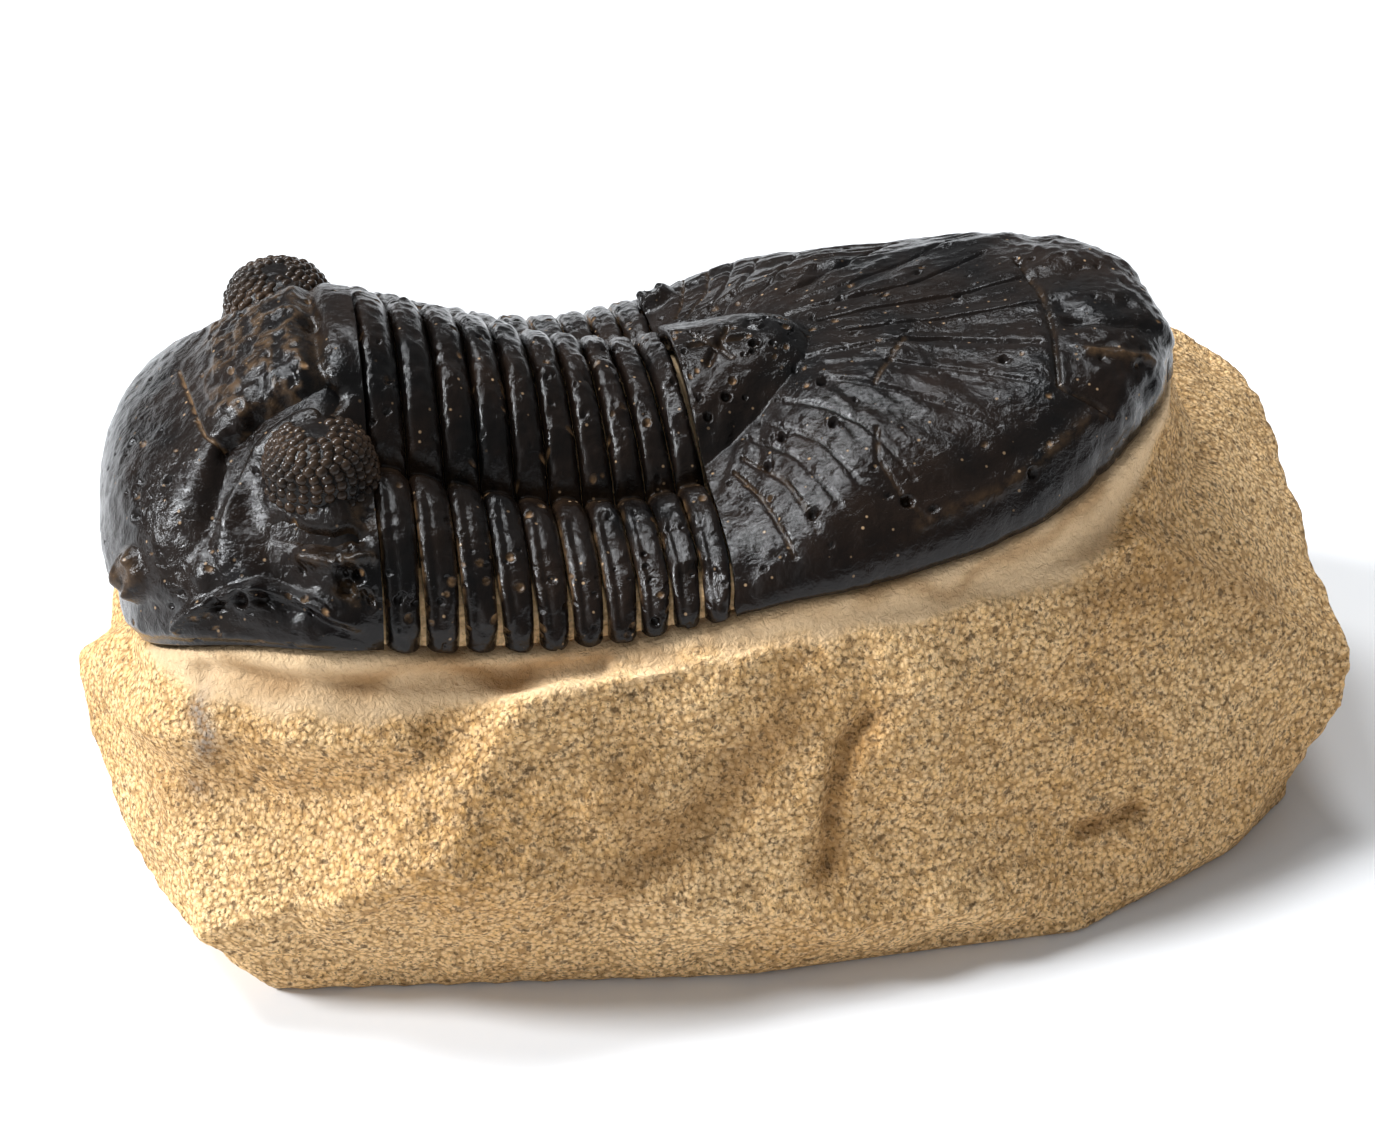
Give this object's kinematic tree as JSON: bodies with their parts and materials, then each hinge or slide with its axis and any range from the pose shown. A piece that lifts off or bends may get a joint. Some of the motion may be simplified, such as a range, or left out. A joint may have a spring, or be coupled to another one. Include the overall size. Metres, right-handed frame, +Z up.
{
  "type": "fossil trilobite on a block of limestone",
  "caption": "Black fossil trilobite with faceted eyes, banded body and fan-shaped tail, raised on a rough tan block of limestone that rests on its flat underside.",
  "frame": {"origin": "middle of the bounding box in plan, on the surface that the block stands on", "axes": "+X from the head to the tail, +Y across the animal, away from the side that the picture shows, +Z up"},
  "size_m": [0.0988, 0.0592, 0.0441],
  "materials": {
    "matrix": "rough, grainy, matt",
    "cephalon": "polished black shell, satin gloss",
    "thorax_segment_01": "polished black shell, satin gloss",
    "thorax_segment_02": "polished black shell, satin gloss",
    "thorax_segment_03": "polished black shell, satin gloss",
    "thorax_segment_04": "polished black shell, satin gloss",
    "thorax_segment_05": "polished black shell, satin gloss",
    "thorax_segment_06": "polished black shell, satin gloss",
    "thorax_segment_07": "polished black shell, satin gloss",
    "thorax_segment_08": "polished black shell, satin gloss",
    "thorax_segment_09": "polished black shell, satin gloss",
    "thorax_segment_10": "polished black shell, satin gloss",
    "pygidium": "polished black shell, satin gloss"
  },
  "bodies": {
    "root": {"matrix": "matrix", "cephalon": "cephalon", "thorax_segment_01": "thorax_segment_01", "thorax_segment_02": "thorax_segment_02", "thorax_segment_03": "thorax_segment_03", "thorax_segment_04": "thorax_segment_04", "thorax_segment_05": "thorax_segment_05", "thorax_segment_06": "thorax_segment_06", "thorax_segment_07": "thorax_segment_07", "thorax_segment_08": "thorax_segment_08", "thorax_segment_09": "thorax_segment_09", "thorax_segment_10": "thorax_segment_10", "pygidium": "pygidium"}
  },
  "joints": []
}
